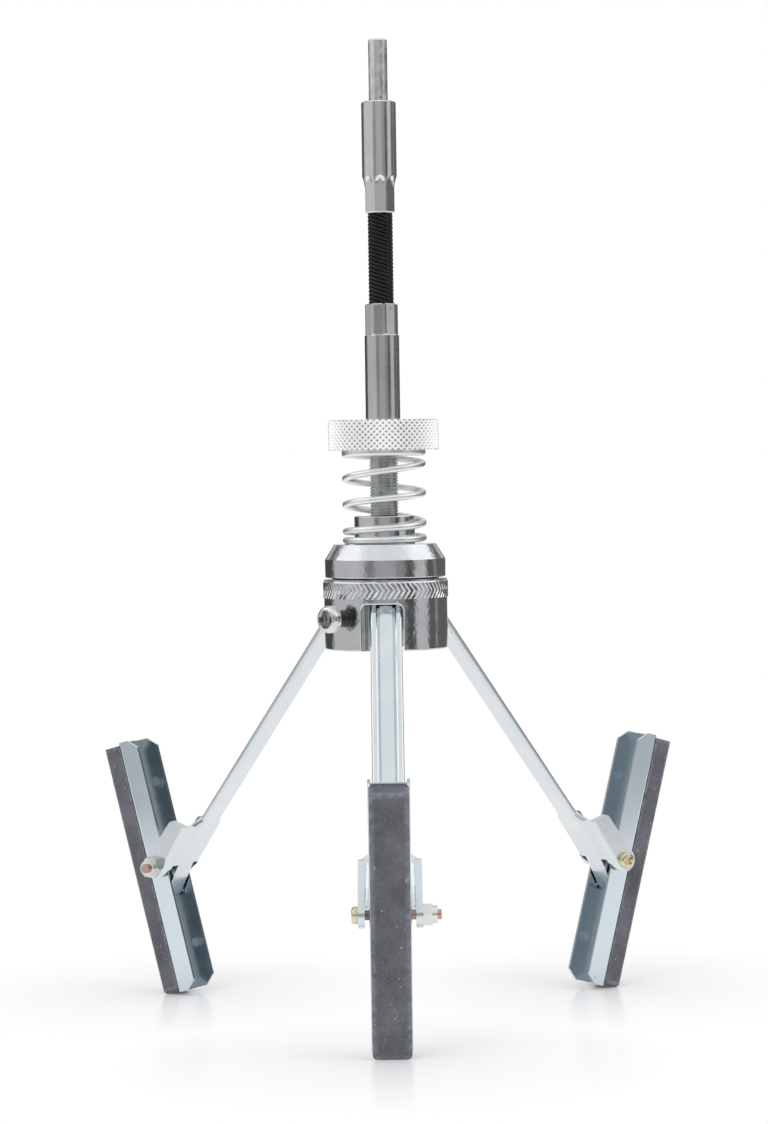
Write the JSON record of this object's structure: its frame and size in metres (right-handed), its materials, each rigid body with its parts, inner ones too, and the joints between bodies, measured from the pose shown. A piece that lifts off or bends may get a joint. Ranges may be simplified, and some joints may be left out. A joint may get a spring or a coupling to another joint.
{
  "type": "cylinder hone",
  "caption": "Flexible-shaft cylinder hone: spring-opened swinging arms with tilting abrasive stones, a slotted head and a knurled tension knob.",
  "frame": {"origin": "on the axis, where the drive shank leaves the upper ferrule", "axes": "+Z along the spindle axis towards the drill, -Y towards the front arm"},
  "size_m": [0.2262, 0.1961, 0.3701],
  "materials": {
    "satin_steel": "satin",
    "black_steel": "black oxide",
    "bright_steel": "bright",
    "chrome": "polished",
    "grey_iron": "machined",
    "blue_zinc": "blue-white zinc",
    "yellow_zinc": "yellow zinc",
    "abrasive": "fine grit"
  },
  "bodies": {
    "head": {"lower_ferrule": "satin_steel", "spindle": "black_steel", "spider": "grey_iron", "hinge_pins": "bright_steel", "head_sleeve": "chrome", "lock_screw": "bright_steel", "end_washer": "bright_steel", "end_nut": "bright_steel", "tension_spring": "blue_zinc"},
    "washer": {"spring_washer": "bright_steel"},
    "knob": {"tension_knob": "bright_steel"},
    "cap": {"head_cap": "chrome"},
    "flex": {"flex_coil": "black_steel", "flex_core": "black_steel"},
    "drive": {"upper_ferrule": "satin_steel", "drive_shank": "satin_steel"},
    "front_arm": {"arm_front": "blue_zinc", "pivot_screw_front": "yellow_zinc", "lock_nut_front": "yellow_zinc"},
    "front_stone": {"stone_holder_front": "blue_zinc", "stone_front": "abrasive"},
    "right_arm": {"arm_right": "blue_zinc", "pivot_screw_right": "yellow_zinc", "lock_nut_right": "yellow_zinc"},
    "right_stone": {"stone_holder_right": "blue_zinc", "stone_right": "abrasive"},
    "left_arm": {"arm_left": "blue_zinc", "pivot_screw_left": "yellow_zinc", "lock_nut_left": "yellow_zinc"},
    "left_stone": {"stone_holder_left": "blue_zinc", "stone_left": "abrasive"}
  },
  "joints": [
    {"name": "washer_travel", "type": "slide", "parent": "head", "child": "washer", "axis": [0, 0, 1], "range_m": [-0.01016, 0], "deforming": ["tension_spring"]},
    {"name": "knob_turn", "type": "hinge", "parent": "washer", "child": "knob", "pos_m": [0, 0, -0.1321], "axis": [0, 0, 1], "range_deg": [-2881, 0]},
    {"name": "cap_travel", "type": "slide", "parent": "head", "child": "cap", "axis": [0, 0, 1], "range_m": [0, 0.00409], "deforming": ["tension_spring"]},
    {"name": "front_arm_swing", "type": "hinge", "parent": "head", "child": "front_arm", "pos_m": [0, -0.0138, -0.1865], "axis": [-1, 0, 0], "range_deg": [-36, 0], "stiffness_Nm_per_rad": 0.083, "springref_deg": 177.62},
    {"name": "front_stone_tilt", "type": "hinge", "parent": "front_arm", "child": "front_stone", "pos_m": [0, -0.10098, -0.29519], "axis": [-1, 0, 0], "range_deg": [0, 51.4]},
    {"name": "right_arm_swing", "type": "hinge", "parent": "head", "child": "right_arm", "pos_m": [0.01195, 0.0069, -0.1865], "axis": [0.5, -0.866, 0], "range_deg": [-36, 0]},
    {"name": "right_stone_tilt", "type": "hinge", "parent": "right_arm", "child": "right_stone", "pos_m": [0.08745, 0.05049, -0.29519], "axis": [0.5, -0.866, 0], "range_deg": [0, 51.4]},
    {"name": "left_arm_swing", "type": "hinge", "parent": "head", "child": "left_arm", "pos_m": [-0.01195, 0.0069, -0.1865], "axis": [0.5, 0.866, 0], "range_deg": [-36, 0]},
    {"name": "left_stone_tilt", "type": "hinge", "parent": "left_arm", "child": "left_stone", "pos_m": [-0.08745, 0.05049, -0.29519], "axis": [0.5, 0.866, 0], "range_deg": [0, 51.4]},
    {"name": "flex_bend_low", "type": "hinge", "parent": "head", "child": "flex", "pos_m": [0, 0, -0.0679], "axis": [1, 0, 0], "range_deg": [-20, 20], "stiffness_Nm_per_rad": 2, "deforming": ["flex_coil", "flex_core"]},
    {"name": "flex_bend_high", "type": "hinge", "parent": "flex", "child": "drive", "pos_m": [0, 0, -0.0507], "axis": [0, 1, 0], "range_deg": [-20, 20], "stiffness_Nm_per_rad": 2, "deforming": ["flex_coil", "flex_core"]}
  ],
  "couplings": [
    {"joint": "knob_turn", "follows": "washer_travel", "rad_per_m": 4947.4},
    {"joint": "cap_travel", "follows": "front_arm_swing", "m_per_rad": -0.006492},
    {"joint": "front_stone_tilt", "follows": "front_arm_swing", "ratio": -1.4278},
    {"joint": "right_arm_swing", "follows": "front_arm_swing", "ratio": 1},
    {"joint": "right_stone_tilt", "follows": "front_arm_swing", "ratio": -1.4278},
    {"joint": "left_arm_swing", "follows": "front_arm_swing", "ratio": 1},
    {"joint": "left_stone_tilt", "follows": "front_arm_swing", "ratio": -1.4278}
  ]
}
